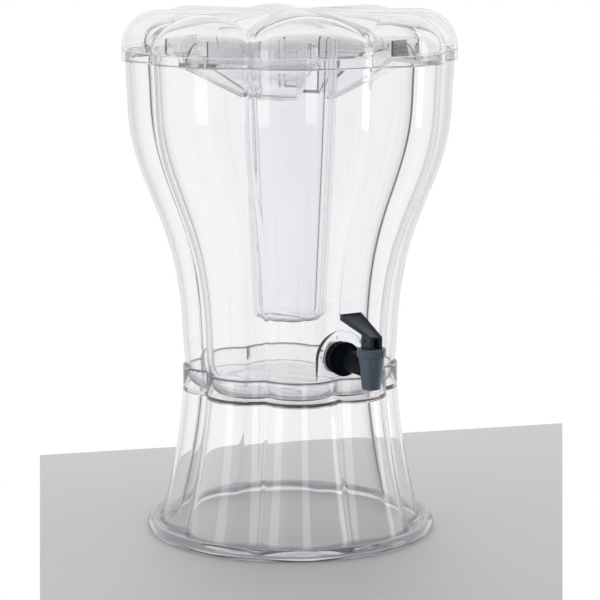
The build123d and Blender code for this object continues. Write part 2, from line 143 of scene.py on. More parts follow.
# painted shade: near a rounded rim or bead the colour shades to the band's own darker colour
# over a few millimetres, standing in for the dark lines that the rim's refraction and reflections show
def paintShadeBand(tree, color, band):
    shaded = tree.nodes.new("ShaderNodeMix")
    shaded.data_type = "RGBA"
    shaded.inputs["B"].default_value = (*band["color"], 1)
    tree.links.new(shareUp(tree, band["from"], band["to"]), shaded.inputs["Factor"])
    tree.links.new(color, shaded.inputs["A"])
    return shaded.outputs["Result"]


# stray light: the bounces after which a wall lets its light go, and the level that the light then meets
stray = {"bounces": 7.5, "level": 0.17}


# one for light that has bounced more often than the stray limit, else nothing
def strayShare(tree, lightPath):
    share = tree.nodes.new("ShaderNodeMath")
    share.operation = "GREATER_THAN"
    share.inputs[1].default_value = stray["bounces"]
    tree.links.new(lightPath.outputs["Glossy Depth"], share.inputs[0])
    return share.outputs["Value"]


# clear acrylic: refracts, soaks up a little light along its path, and lets shadow rays straight through
def acrylic(name, look):
    material, tree, output = emptyMaterial(name)
    shader = tree.nodes.new("ShaderNodeBsdfPrincipled")
    shader.inputs["Transmission Weight"].default_value = 1.0
    shader.inputs["IOR"].default_value = look["ior"]
    addMouldedSkin(tree, shader, look)
    # painted shade: walls that are seen edge on shade towards grey, partly for their longer path
    # through the plastic and partly for the dark edge lines that reflections draw there
    slant, shade, tint = newNodes(tree, "LayerWeight", "MapRange", "Mix")
    slant.inputs["Blend"].default_value = look["edgeBlend"]
    shade.interpolation_type = "SMOOTHSTEP"
    shade.inputs["From Min"].default_value, shade.inputs["From Max"].default_value = look["edgeFrom"], 1.0
    tint.data_type = "RGBA"
    tint.inputs["A"].default_value = (*look["color"], 1)
    tint.inputs["B"].default_value = (*look["paintedEdgeShade"], 1)
    tree.links.new(slant.outputs["Facing"], shade.inputs["Value"])
    # faces that lie more level than the look's tilt, such as floors and decks, stay clear
    level, split, flat = newNodes(tree, "NewGeometry", "SeparateXYZ", "Math")
    upright, amount = newNodes(tree, "MapRange", "Math")
    flat.operation, amount.operation = "ABSOLUTE", "MULTIPLY"
    for socket, value in zip(("From Min", "From Max", "To Min", "To Max"), (*look["tilt"], 1.0, 0.0)):
        upright.inputs[socket].default_value = value
    tree.links.new(level.outputs["Normal"], split.inputs["Vector"])
    tree.links.new(split.outputs["Z"], flat.inputs[0])
    tree.links.new(flat.outputs["Value"], upright.inputs["Value"])
    tree.links.new(upright.outputs["Result"], amount.inputs[0])
    tree.links.new(shade.outputs["Result"], amount.inputs[1])
    tree.links.new(amount.outputs["Value"], tint.inputs["Factor"])
    color = tint.outputs["Result"]
    for band in look["paintedShadeBands"]:
        color = paintShadeBand(tree, color, band)
    tree.links.new(color, shader.inputs["Base Color"])
    # light that keeps bouncing inside a wall leaves it straight on in the end, as the stray light
    # that the world keeps dim
    lightPath, through, passes, mix = newNodes(tree, "LightPath", "BsdfTransparent", "Math", "MixShader")
    through.inputs["Color"].default_value = (*look["shadow"], 1)
    passes.operation = "MAXIMUM"
    tree.links.new(strayShare(tree, lightPath), passes.inputs[0])
    tree.links.new(lightPath.outputs["Is Shadow Ray"], passes.inputs[1])
    tree.links.new(passes.outputs["Value"], mix.inputs["Fac"])
    tree.links.new(shader.outputs["BSDF"], mix.inputs[1])
    tree.links.new(through.outputs["BSDF"], mix.inputs[2])
    tree.links.new(mix.outputs["Shader"], output.inputs["Surface"])
    absorb = tree.nodes.new("ShaderNodeVolumeAbsorption")
    absorb.inputs["Color"].default_value = (*look["absorb"], 1)
    absorb.inputs["Density"].default_value = look["density"]
    tree.links.new(absorb.outputs["Volume"], output.inputs["Volume"])
    return material


# moulded opaque plastic or rubber
def moulded(name, look):
    material, tree, output = emptyMaterial(name)
    shader = tree.nodes.new("ShaderNodeBsdfPrincipled")
    addMouldedSkin(tree, shader, look)
    shader.inputs["Specular IOR Level"].default_value = look["specular"]
    shader.inputs["Specular Tint"].default_value = (*look["sheen"], 1)
    place, mottle, shade = newNodes(tree, "TexCoord", "TexNoise", "Mix")
    mottle.inputs["Scale"].default_value = look["mottleScale"]
    mottle.inputs["Detail"].default_value = look["mottleDetail"]
    shade.data_type = "RGBA"
    shade.inputs["A"].default_value = (*look["dark"], 1)
    shade.inputs["B"].default_value = (*look["light"], 1)
    tree.links.new(place.outputs["Object"], mottle.inputs["Vector"])
    tree.links.new(mottle.outputs["Fac"], shade.inputs["Factor"])
    tree.links.new(shade.outputs["Result"], shader.inputs["Base Color"])
    tree.links.new(shader.outputs["BSDF"], output.inputs["Surface"])
    return material


clearSkin = {"Ripple Scale": 26.0, "Grain Scale": 900.0, "Grain Share": 0.004, "Roughness": 0.0,
             "Roughness Drift": 0.03}
# paintedEdgeShade is the painted shade that walls seen edge on take
clearLook = {"color": (0.990, 0.988, 0.992), "paintedEdgeShade": (0.42, 0.41, 0.44), "edgeFrom": 0.40, "ior": 1.49,
             "shadow": (0.90, 0.90, 0.91), "absorb": (0.78, 0.77, 0.80), "density": 50.0, "skin": clearSkin,
             "bumpStrength": 0.15, "bumpDepth": 0.0005, "edgeBlend": 0.5, "tilt": (0.45, 0.9), "paintedShadeBands": ()}
# painted shade bands: a dark line at the pedestal's collar rim and a grey foot bead
collarPaintedShade = {"from": 152.4, "to": 154.4, "color": (0.26, 0.26, 0.30)}
footPaintedShade = {"from": 12.0, "to": 9.5, "color": (0.70, 0.70, 0.72)}
baseLook = {**clearLook, "color": (0.978, 0.976, 0.981), "density": 12.0, "paintedShadeBands": (collarPaintedShade, footPaintedShade)}
lidLook = {**clearLook, "color": (0.958, 0.960, 0.952), "absorb": (0.79, 0.79, 0.77), "density": 20.0,
           "paintedEdgeShade": (0.14, 0.14, 0.14), "edgeFrom": 0.72, "tilt": (1.5, 2.0)}
# painted shade band: the ice tube and its arms shade a little greyer from 434 mm up
mouthPaintedShade = {"from": 434.0, "to": 437.0, "color": (0.905, 0.90, 0.915)}
tubeLook = {**clearLook, "color": (0.955, 0.952, 0.961), "absorb": (0.74, 0.72, 0.78), "density": 10.0,
            "paintedEdgeShade": (0.56, 0.55, 0.60), "paintedShadeBands": (mouthPaintedShade,)}
plasticSkin = {"Ripple Scale": 90.0, "Grain Scale": 2600.0, "Grain Share": 0.75, "Roughness": 0.30,
               "Roughness Drift": 0.14}
blackLook = {"dark": (0.010, 0.015, 0.022), "light": (0.018, 0.025, 0.035), "mottleScale": 160.0,
             "mottleDetail": 4.0, "specular": 0.6, "sheen": (0.72, 0.88, 1.0), "skin": plasticSkin,
             "bumpStrength": 0.25, "bumpDepth": 0.0002}
leverLook = {**blackLook, "dark": (0.008, 0.012, 0.018), "light": (0.014, 0.020, 0.028), "specular": 0.35}
barrelLook = {**blackLook, "dark": (0.034, 0.046, 0.061), "light": (0.054, 0.070, 0.089)}
# painted shade: the tap's neck plastic is a shaded copy, darker and less glossy
paintedShadeNeckLook = {**blackLook, "dark": (0.001, 0.002, 0.004), "light": (0.003, 0.004, 0.007), "specular": 0.03}
pinLook = {**blackLook, "dark": (0.012, 0.013, 0.016), "light": (0.020, 0.022, 0.026)}
nutLook = {**blackLook, "dark": (0.30, 0.29, 0.28), "light": (0.38, 0.37, 0.36)}
rubberLook = {**blackLook, "dark": (0.010, 0.010, 0.011), "light": (0.018, 0.018, 0.019), "specular": 0.3,
              "skin": {**plasticSkin, "Roughness": 0.62}}
siliconeLook = {**blackLook, "dark": (0.42, 0.42, 0.40), "light": (0.52, 0.52, 0.50), "specular": 0.4,
                "skin": {**plasticSkin, "Roughness": 0.5}}
baseAcrylic = acrylic("baseAcrylic", baseLook)
tankAcrylic = acrylic("tankAcrylic", clearLook)
lidAcrylic = acrylic("lidAcrylic", lidLook)
tubeAcrylic = acrylic("tubeAcrylic", tubeLook)
leverPlastic = moulded("leverPlastic", leverLook)
barrelPlastic = moulded("barrelPlastic", barrelLook)
paintedShadeNeckPlastic = moulded("paintedShadeNeckPlastic", paintedShadeNeckLook)
pinPlastic = moulded("pinPlastic", pinLook)
blackRubber = moulded("blackRubber", rubberLook)
greySilicone = moulded("greySilicone", siliconeLook)
greyPlastic = moulded("greyPlastic", nutLook)
print("materials made")


# loops of points, each closed on itself, joined by quads, with the first and last loop filled
def loopMesh(name, loops):
    rows, columns = loops.shape[:2]
    index = np.arange(rows * columns).reshape(rows, columns)
    following = np.roll(index, -1, axis=1)
    quads = np.stack([index[:-1], following[:-1], following[1:], index[1:]], axis=-1)
    faces = quads.reshape(-1, 4).tolist() + [index[0, ::-1].tolist(), index[-1].tolist()]
    mesh = bpy.data.meshes.new(name)
    mesh.from_pydata((loops.reshape(-1, 3) * mm).tolist(), [], faces)
    piece = bpy.data.objects.new(name, mesh)
    scene.collection.objects.link(piece)
    return piece


# boolean carried out at once on the piece's mesh; the other solid is then deleted
def carve(piece, other, operation):
    modifier = piece.modifiers.new("carve", "BOOLEAN")
    modifier.operation = operation
    modifier.solver = "MANIFOLD"
    modifier.object = other
    bakeModifiers(piece)
    bpy.data.objects.remove(other)


def bakeModifiers(piece):
    baked = bpy.data.meshes.new_from_object(piece.evaluated_get(bpy.context.evaluated_depsgraph_get()))
    piece.modifiers.clear()
    old, piece.data = piece.data, baked
    bpy.data.meshes.remove(old)


creaseAngle = 32  # degrees; flatter edges are shaded smooth


# smooth shading, a finish, and the body and node that the piece belongs to
def finishPiece(piece, material, node, body=None):
    mesh = piece.data
    mesh.materials.clear()
    mesh.materials.append(material)
    mesh.polygons.foreach_set("material_index", np.zeros(len(mesh.polygons), dtype=np.int32))
    mesh.polygons.foreach_set("use_smooth", np.ones(len(mesh.polygons), dtype=bool))
    mesh.set_sharp_from_angle(angle=math.radians(creaseAngle))
    mesh.update()
    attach(piece, body or nodes[node]["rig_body"])
    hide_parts(node)
    print("made", piece.name, "with", len(mesh.polygons), "faces")


fluting = {"lobes": 8, "depth": 11.0, "blend": 5.0, "columns": 32}
halfPitch = math.pi / fluting["lobes"]


# distance from the axis to a flute arc's centre, and the radius of the lobe arcs that run into the flute
# arcs without a kink: their two centres are as far apart as the two radii together
def grooveAndLobe(crest, depth, blend):
    groove = crest - depth + blend
    across = groove**2 - 2 * groove * crest * math.cos(halfPitch) + crest**2 - blend**2
    return groove, across / (2 * (blend + crest - groove * math.cos(halfPitch)))


# distance from the axis to a ring of lobe arcs joined by tangent flute arcs, at each turn about the axis
def flutedRadius(turn, crest, depth, blend):
    fromCrest = np.abs(np.mod(turn, 2 * halfPitch) - halfPitch)
    fromFlute = halfPitch - fromCrest
    groove, lobe = grooveAndLobe(crest, depth, blend)
    center = crest - lobe
    share = lobe / (lobe + blend)
    touchX = center + share * (groove * math.cos(halfPitch) - center)
    touch = np.arctan2(share * groove * math.sin(halfPitch), touchX)
    onLobe = center * np.cos(fromCrest) + np.sqrt(lobe**2 - (center * np.sin(fromCrest)) ** 2)
    inFlute = np.sqrt(np.maximum(blend**2 - (groove * np.sin(fromFlute)) ** 2, 0))
    return np.where(fromCrest <= touch, onLobe, groove * np.cos(fromFlute) - inFlute)


# turns about the axis, bunched towards the flutes by the sine of an even step
def flutedTurns(columns=fluting["columns"]):
    inLobe = np.sin(np.linspace(-1, 1, columns, endpoint=False) * math.pi / 2) * halfPitch
    crests = halfPitch * (2 * np.arange(fluting["lobes"]) + 1)
    return (crests[:, None] + inLobe[None, :]).ravel()


# points of rings that are given by a radius for each row and turn, and a level for each row
def ringPoints(turns, radius, level):
    level = np.broadcast_to(np.asarray(level, dtype=float).reshape(len(radius), -1), radius.shape)
    return np.stack([radius * np.cos(turns), radius * np.sin(turns), level], axis=-1)


# most: the largest share of an edge that one corner may take
rounding = {"steps": 4, "most": 0.45}


# profile of points whose corners are cut back by the given radius and bridged by parabolas
def roundedProfile(points, radius):
    points = np.asarray(points, dtype=float)
    before, corner, after = points[:-2], points[1:-1], points[2:]
    towardsBefore, towardsAfter = before - corner, after - corner
    lengthBefore = np.linalg.norm(towardsBefore[:, :2], axis=1, keepdims=True)
    lengthAfter = np.linalg.norm(towardsAfter[:, :2], axis=1, keepdims=True)
    trim = np.minimum(radius, rounding["most"] * np.minimum(lengthBefore, lengthAfter))
    start = corner + towardsBefore / lengthBefore * trim
    end = corner + towardsAfter / lengthAfter * trim
    t = np.linspace(0, 1, rounding["steps"])[None, :, None]
    arcs = (1 - t) ** 2 * start[:, None] + 2 * t * (1 - t) * corner[:, None] + t**2 * end[:, None]
    return np.concatenate([points[:1], arcs.reshape(-1, points.shape[1]), points[-1:]])


tank = {"floorLevel": 136.0, "rimLevel": 445.0, "collarRim": 155.2, "seatCrest": 97.0, "mouthCrest": 150.4,
        "wall": 3.0, "floor": 3.4, "corner": 14.0, "rimWall": 1.4, "ledgeDrop": 8.0, "ledgeMargin": 1.0,
        "rows": 96, "edge": 0.6,
        "flareUp": (0, 0.038, 0.146, 0.309, 0.5, 0.691, 0.854, 0.962, 1),
        "flareOut": (0, 0.032, 0.066, 0.174, 0.491, 0.865, 0.970, 0.997, 1)}
tulip = np.polynomial.Polynomial.fit(tank["flareUp"], tank["flareOut"], len(tank["flareUp"]) - 1)


# crest of the tank's outer face at each level above the collar
def tulipCrest(level):
    up = (level - tank["collarRim"]) / (tank["rimLevel"] - tank["collarRim"])
    return tank["seatCrest"] + (tank["mouthCrest"] - tank["seatCrest"]) * tulip(up)


# the corner's arc in degrees, from where it leaves the floor to the upright wall
cornerArc = {"from": 15, "to": 90, "steps": 10}


# reach, level and inset up a rounded bottom corner
def cornerRows(floorLevel, crest, corner, inset):
    steps = cornerArc["steps"]
    angle = np.radians(np.linspace(cornerArc["from"], cornerArc["to"], steps))
    level = floorLevel + corner * (math.cos(angle[0]) - np.cos(angle))
    return np.stack([crest - corner * (1 - np.sin(angle)), level, np.full(steps, inset)], axis=-1)


# rings of the shared fluting from rows of reach, level and inset, where the inset widens the flute's blend
def flutedLoops(turns, rows, depth=fluting["depth"], blend=fluting["blend"]):
    radius = flutedRadius(turns, rows[:, 0, None], depth, blend + rows[:, 2, None])
    return ringPoints(turns, radius, rows[:, 1])


# overlap, outward and overrun let the solids that are joined or cut away pass through each other's faces
pad = {"face": 91.5, "inside": 87.5, "halfWidth": 22.0, "frame": 3.0, "nutSeat": 18.0, "bottom": 156.7,
       "center": 174.5, "hole": 8.4, "archSteps": 64, "overlap": 0.05, "outward": 60.0, "overrun": 2.0}


# solid of the pad's arched outline between two distances in front of the axis
def padSolid(name, halfWidth, near, far):
    arch = np.linspace(0, math.pi, pad["archSteps"])
    across = np.concatenate([[halfWidth], halfWidth * np.cos(arch), [-halfWidth]])
    level = np.concatenate([[pad["bottom"]], pad["center"] + halfWidth * np.sin(arch), [pad["bottom"]]])
    loops = [np.stack([across, np.full(len(across), -ahead), level], axis=-1) for ahead in (near, far)]
    return loopMesh(name, np.stack(loops))


def buildTank():
    levels = np.linspace(tank["collarRim"], tank["rimLevel"] - tank["edge"], tank["rows"])
    outer = np.stack([tulipCrest(levels), levels, np.zeros(len(levels))], axis=-1)
    ledge = tank["rimLevel"] - tank["ledgeDrop"]
    rimCrest, ledgeCrest = tank["mouthCrest"], tank["mouthCrest"] - tank["rimWall"]
    innerLevels = levels[levels < ledge - tank["ledgeMargin"]][::-1]
    innerInset = np.full(len(innerLevels), tank["wall"])
    inner = np.stack([tulipCrest(innerLevels) - tank["wall"], innerLevels, innerInset], axis=-1)
    rim = roundedProfile([outer[-1], (rimCrest, tank["rimLevel"], 0),
                          (ledgeCrest, tank["rimLevel"], tank["rimWall"]),
                          (ledgeCrest, ledge, tank["rimWall"]),
                          (tulipCrest(ledge) - tank["wall"], ledge, tank["wall"]), inner[0]], tank["edge"])
    outerCorner = cornerRows(tank["floorLevel"], tank["seatCrest"], tank["corner"], 0.0)
    innerCorner = cornerRows(tank["floorLevel"] + tank["floor"], tank["seatCrest"] - tank["wall"],
                             tank["corner"] - tank["wall"], tank["wall"])
    turns = flutedTurns()[None, :]
    outside = np.concatenate([outerCorner, outer])
    rows = np.concatenate([outside, rim[1:-1], inner, innerCorner[::-1]])
    piece = loopMesh("clearTank", flutedLoops(turns, rows))
    # pad: a flat slab across the front flute, with a frame out to the tank's face
    # and a window down to the pad
    framed, farOut = pad["halfWidth"] + pad["frame"], pad["face"] + pad["outward"]
    frameSolid = padSolid("frame", framed, pad["face"] - pad["overlap"], farOut)
    carve(frameSolid, loopMesh("outside", flutedLoops(turns, outside)), "INTERSECT")
    carve(piece, frameSolid, "UNION")
    carve(piece, padSolid("slab", framed, pad["inside"], pad["face"]), "UNION")
    carve(piece, padSolid("window", pad["halfWidth"], pad["face"], farOut), "DIFFERENCE")
    nutSeat = padSolid("nutSeat", pad["nutSeat"], pad["inside"] - fluting["depth"], pad["inside"])
    carve(piece, nutSeat, "DIFFERENCE")
    holeEnds = pad["inside"] - pad["overrun"], pad["face"] + pad["overrun"]
    hole = revolved("hole", [(end, pad["hole"]) for end in holeEnds], shankFrame)
    carve(piece, hole, "DIFFERENCE")
    finishPiece(piece, tankAcrylic, "tank")


base = {"bead": 5.5, "footRadius": 134.0, "landDepth": 0.3, "plate": 3.2, "wall": 2.8, "deck": 135.9,
        "deckThickness": 3.3, "collarRim": 155.2, "collarWall": 2.5, "footCrest": 123.6, "middleCrest": 107.9,
        "waistCrest": 100.0, "rows": 60, "beadSteps": 40, "edge": 1.1}


# crest of the skirt's outer face: the parabola through its foot, middle and waist
def skirtCrest(level, top):
    low = base["bead"] - base["landDepth"] - base["plate"] / 2
    middle = (base["deck"] + base["bead"] - base["landDepth"]) / 2
    curve = np.polyfit([low, middle, top], [base["footCrest"], base["middleCrest"], base["waistCrest"]], 2)
    return np.polyval(curve, level)


def buildBase():
    beadLevel = base["bead"] - base["landDepth"]
    beadCenter = base["footRadius"] - base["bead"]
    low, high = beadLevel - base["plate"] / 2, beadLevel + base["plate"] / 2
    underDeck = base["deck"] - base["deckThickness"]
    turns = flutedTurns()[None, :]
    skirtUp = np.linspace(high + base["edge"], base["deck"], base["rows"])
    skirtDown = np.linspace(underDeck - base["edge"], low, base["rows"])
    insideCrest = skirtCrest(skirtDown, underDeck) - base["wall"]
    inside = flutedRadius(turns, insideCrest[:, None], fluting["depth"], fluting["blend"] + base["wall"])
    outsideCrest = skirtCrest(skirtUp, base["deck"])
    outside = flutedRadius(turns, outsideCrest[:, None], fluting["depth"], fluting["blend"])
    # bead: a circle from the plate's lower face round to its upper face, cut flat where it stands
    slip = math.asin(base["plate"] / 2 / base["bead"])
    around = np.linspace(slip - math.pi, math.pi - slip, base["beadSteps"])
    beadRadius = np.repeat((beadCenter + base["bead"] * np.cos(around))[:, None], turns.shape[1], axis=1)
    beadLevels = np.maximum(beadLevel + base["bead"] * np.sin(around), 0)
    waist, innerWaist = base["waistCrest"], base["waistCrest"] - base["collarWall"]
    collar = roundedProfile([(waist, base["deck"], 0), (waist, base["collarRim"], 0),
                             (innerWaist, base["collarRim"], base["collarWall"]),
                             (innerWaist, base["deck"], base["collarWall"])], base["edge"])[1:]
    collarBlend = fluting["blend"] + collar[:, 2, None]
    collarRadius = flutedRadius(turns, collar[:, 0, None], fluting["depth"], collarBlend)
    radius = np.concatenate([inside[:1] - base["edge"], inside, beadRadius,
                             outside[:1] + base["edge"], outside, collarRadius])
    level = np.concatenate([[underDeck], skirtDown, beadLevels, [high], skirtUp, collar[:, 1]])
    finishPiece(loopMesh("clearPedestal", ringPoints(turns, radius, level)), baseAcrylic, "base_pedestal")


# rimGap keeps the lid's clear faces off the tank's; runEnd and runPower bunch the dome's rows
# towards its middle
lid = {"wall": 2.4, "clearance": 0.5, "overlap": 9.0, "crown": 36.0, "shoulder": 34.0, "step": 2.5,
       "valley": 7.0, "columns": 36, "bendRows": 20, "runRows": 30, "runEnd": 0.0005, "runPower": 1.3,
       "rounds": 24, "edge": 0.5, "rimGap": 0.1}


# petal dome: a lobe's side circle, at each distance across it, rises, bends over a quarter circle
# and runs in level
def petalDome(turns, inset):
    blend = fluting["blend"] - lid["clearance"] - lid["wall"]
    crest = tank["mouthCrest"] + lid["clearance"] + lid["wall"]
    lobe = grooveAndLobe(crest, fluting["depth"], blend)[1] - inset
    crest = crest - inset
    center, bendX = crest - lobe, crest - (lid["shoulder"] - inset)
    bendLevel = tank["rimLevel"] + lid["crown"] - lid["shoulder"]
    slope = np.tan(np.mod(turns, 2 * halfPitch) - halfPitch)
    tilt = np.linspace(0, math.pi / 2, lid["bendRows"])[:, None]
    across = np.zeros((lid["bendRows"], turns.shape[1]))
    for again in range(lid["rounds"]):  # the distance across depends on itself through the slanted turn
        rise = center + np.sqrt(lobe**2 - across**2) - bendX
        across = (bendX + rise * np.cos(tilt)) * slope
    along, level = bendX + rise * np.cos(tilt), bendLevel + rise * np.sin(tilt)
    runIn = bendX * np.linspace(1, lid["runEnd"], lid["runRows"])[1:, None] ** lid["runPower"]
    runAcross = runIn * slope
    runLevel = bendLevel + center + np.sqrt(lobe**2 - runAcross**2) - bendX
    along = np.concatenate([along, np.repeat(runIn, turns.shape[1], axis=1)])
    level = np.concatenate([level, runLevel])
    across = along * slope
    # a parabola fills the bottom of the valley between two lobes
    lift = np.concatenate([np.sin(tilt), np.ones((lid["runRows"] - 1, 1))])
    toValley = np.clip(lid["valley"] - (along * math.tan(halfPitch) - np.abs(across)), 0, None)
    steepness = np.abs(across) / np.sqrt(lobe**2 - across**2)
    level = level + lift * steepness * toValley**2 / (2 * lid["valley"])
    return along / np.cos(np.arctan(slope)), level


def buildLid():
    turns = flutedTurns(lid["columns"])[None, :]
    outRadius, outLevel = petalDome(turns, 0.0)
    inRadius, inLevel = petalDome(turns, lid["wall"])
    rim, bottom = tank["rimLevel"] + lid["rimGap"], tank["rimLevel"] - lid["overlap"]
    bore, sill = (flutedRadius(turns, tank["mouthCrest"] + out, fluting["depth"], fluting["blend"] - out)[0]
                  for out in (lid["clearance"], -tank["rimWall"]))
    side, insideSide = outRadius[0], inRadius[0]
    edge = lid["edge"]
    skirt = [(insideSide, rim + lid["step"]), (sill, rim + lid["step"]), (sill, rim + edge),
             (sill + edge, rim), (bore, rim), (bore, bottom + edge), (bore + edge, bottom),
             (side - edge, bottom), (side, bottom + edge), (side, rim)]
    radius = np.concatenate([inRadius[::-1], np.stack([row[0] for row in skirt]), outRadius])
    skirtLevel = np.repeat(np.array([row[1] for row in skirt])[:, None], turns.shape[1], axis=1)
    level = np.concatenate([inLevel[::-1], skirtLevel, outLevel])
    finishPiece(loopMesh("clearLid", ringPoints(turns, radius, level)), lidAcrylic, "lid")


# overrun, startBack and lipBack take the solids that are cut away past the faces that they open
tube = {"top": 457.0, "bottom": 198.0, "wall": 2.2, "corner": 8.0, "mouthCrest": 45.5, "footCrest": 34.4,
        "depth": 3.0, "blend": 4.0, "columns": 28, "rows": 40, "overrun": 3.0}
arm = {"count": 4, "spread": 49.6, "wall": 2.2, "rootLevel": 402.0, "start": 36.0, "middle": 80.0,
       "endRadius": 116.0, "finReach": 139.6, "finCorner": 17.0, "finSteps": 10, "sliver": 0.01, "across": 14,
       "ledge": 437.08, "plate": 2.92, "lip": 2.2, "lipTop": 445.0, "hangerCrest": 148.7, "hangerInset": 0.3,
       "hangerSteps": 60, "overrun": 5.0, "startBack": 4.0, "bayMiddle": 20.0, "lipBack": 8.0,
       "lipShare": 1.05}


# tapered fluted tube, as a solid cup or as the solid of its bore
def tubeRows(inset, floorLevel):
    corner = cornerRows(floorLevel, tube["footCrest"] - inset, tube["corner"] - inset, inset)
    levels = np.linspace(corner[-1, 1], tube["top"], tube["rows"])[1:]
    share = (levels - corner[-1, 1]) / (tube["top"] - corner[-1, 1])
    crest = tube["footCrest"] + (tube["mouthCrest"] - tube["footCrest"]) * share - inset
    return np.concatenate([corner, np.stack([crest, levels, np.full(len(levels), inset)], axis=-1)])


# wedge between two faces: at each radius a loop runs along the lower face across the arm
# and back along the upper
def armBlock(name, radii, low, high, inset):
    radii, low, high = (np.asarray(values, dtype=float)[:, None] for values in (radii, low, high))
    half = math.radians(arm["spread"] / 2) - np.arcsin(inset / radii)
    share = np.linspace(-1, 1, arm["across"])[None, :]
    turn = half * np.concatenate([share, share[:, ::-1]], axis=1)
    level = np.repeat(np.concatenate([low, high], axis=1), arm["across"], axis=1)
    radius = np.repeat(radii, turn.shape[1], axis=1)
    return loopMesh(name, np.stack([radius * np.cos(turn), radius * np.sin(turn), level], axis=-1))


# lower face of an arm at each radius: level at the root, then sloping up to the ledge
def armUnderside(radii):
    return np.interp(radii, [tube["mouthCrest"], arm["endRadius"]], [arm["rootLevel"], arm["ledge"]])


# slice of the hanger's fluted outline across one arm, from one level up to another
def hangerSlab(name, crest, inset, low, high, innerRadius, turnShare=1.0):
    half = math.radians(arm["spread"] / 2) * turnShare
    turn = np.linspace(-half, half, arm["hangerSteps"])
    outer = flutedRadius(turn, crest, fluting["depth"], fluting["blend"] + tank["rimWall"] + inset)
    plan = np.concatenate([np.stack([outer * np.cos(turn), outer * np.sin(turn)], axis=-1),
                           np.stack([innerRadius * np.cos(turn), innerRadius * np.sin(turn)], axis=-1)[::-1]])
    levels = np.broadcast_to(np.array([low, high])[:, None, None], (2, len(plan), 1))
    return loopMesh(name, np.concatenate([np.repeat(plan[None], 2, axis=0), levels], axis=-1))


def buildArm():
    quarter = np.linspace(0, math.pi / 2, arm["finSteps"])
    finTop = tube["top"] - arm["finCorner"] * (1 - np.cos(quarter))
    finRadii = arm["finReach"] - arm["finCorner"] * (1 - np.sin(quarter))
    end, plateTop, above = arm["endRadius"], arm["ledge"] + arm["plate"], tube["top"] + arm["overrun"]
    toEnd = [arm["start"], tube["mouthCrest"], arm["middle"], end, end + arm["sliver"]]
    radii = np.array([*toEnd, *finRadii])
    low = np.where(radii > end, plateTop, armUnderside(radii))
    high = np.concatenate([np.full(len(toEnd), tube["top"]), np.maximum(finTop, plateTop + arm["sliver"])])
    piece = armBlock("iceTubeArm", radii, low, high, 0.0)
    inside = np.array([arm["start"] - arm["startBack"], tube["mouthCrest"], arm["middle"], end - arm["wall"]])
    troughFloor = armUnderside(inside) + arm["plate"]
    trough = armBlock("trough", inside, troughFloor, np.full(len(inside), above), arm["wall"])
    carve(piece, trough, "DIFFERENCE")
    beyond = np.array([end, end + arm["bayMiddle"], arm["finReach"] + arm["overrun"]])
    bayFloor, bayTop = np.full(len(beyond), plateTop), np.full(len(beyond), above)
    carve(piece, armBlock("bay", beyond, bayFloor, bayTop, arm["wall"]), "DIFFERENCE")
    foot = hangerSlab("foot", arm["hangerCrest"], arm["hangerInset"], arm["ledge"], arm["lipTop"],
                      end - arm["wall"] / 2)
    lipBore = hangerSlab("lipBore", arm["hangerCrest"] - arm["lip"], arm["hangerInset"] + arm["lip"],
                         plateTop, arm["lipTop"] + arm["overrun"], end - arm["lipBack"], arm["lipShare"])
    carve(foot, lipBore, "DIFFERENCE")
    carve(piece, foot, "UNION")
    return piece


def buildIceTube():
    turns = flutedTurns(tube["columns"])[None, :]
    outer, bore = tubeRows(0.0, tube["bottom"]), tubeRows(tube["wall"], tube["bottom"] + tube["wall"])
    bore[-1, 1] += tube["overrun"]
    solids = []
    for name, rows in (("clearIceTube", outer), ("bore", bore)):
        solids.append(loopMesh(name, flutedLoops(turns, rows, tube["depth"], tube["blend"])))
    piece, boreSolid = solids
    oneArm = buildArm()
    points = np.empty(len(oneArm.data.vertices) * 3)
    oneArm.data.vertices.foreach_get("co", points)
    points = points.reshape(-1, 3)
    for turn in (np.arange(arm["count"]) + 0.5) * 2 * math.pi / arm["count"]:
        cosine, sine = math.cos(turn), math.sin(turn)
        spin = np.array([[cosine, -sine, 0], [sine, cosine, 0], [0, 0, 1]])
        copy = bpy.data.objects.new("armCopy", oneArm.data.copy())
        scene.collection.objects.link(copy)
        copy.data.vertices.foreach_set("co", (points @ spin.T).ravel())
        carve(piece, copy, "UNION")
    bpy.data.objects.remove(oneArm)
    carve(piece, boreSolid, "DIFFERENCE")
    finishPiece(piece, tubeAcrylic, "ice_tube")


turnSteps = {"piece": 72, "bore": 48}


# profile of (distance along, radius) points turned round an axis that starts at an origin
def revolved(name, profile, place, steps=turnSteps["piece"], wave=None):
    profile = np.asarray(profile, dtype=float)
    turn = np.linspace(0, 2 * math.pi, steps, endpoint=False)[None, :]
    along = np.repeat(profile[:, :1], steps, axis=1)
    radius = np.repeat(profile[:, 1:2], steps, axis=1)
    if wave is not None:
        radius = radius + wave(along, turn)
    origin, axis, side = (np.asarray(place[key], dtype=float) for key in ("origin", "axis", "side"))
    other = np.cross(axis, side)
    ring = side * np.cos(turn)[..., None] + other * np.sin(turn)[..., None]
    return loopMesh(name, origin + along[..., None] * axis + radius[..., None] * ring)


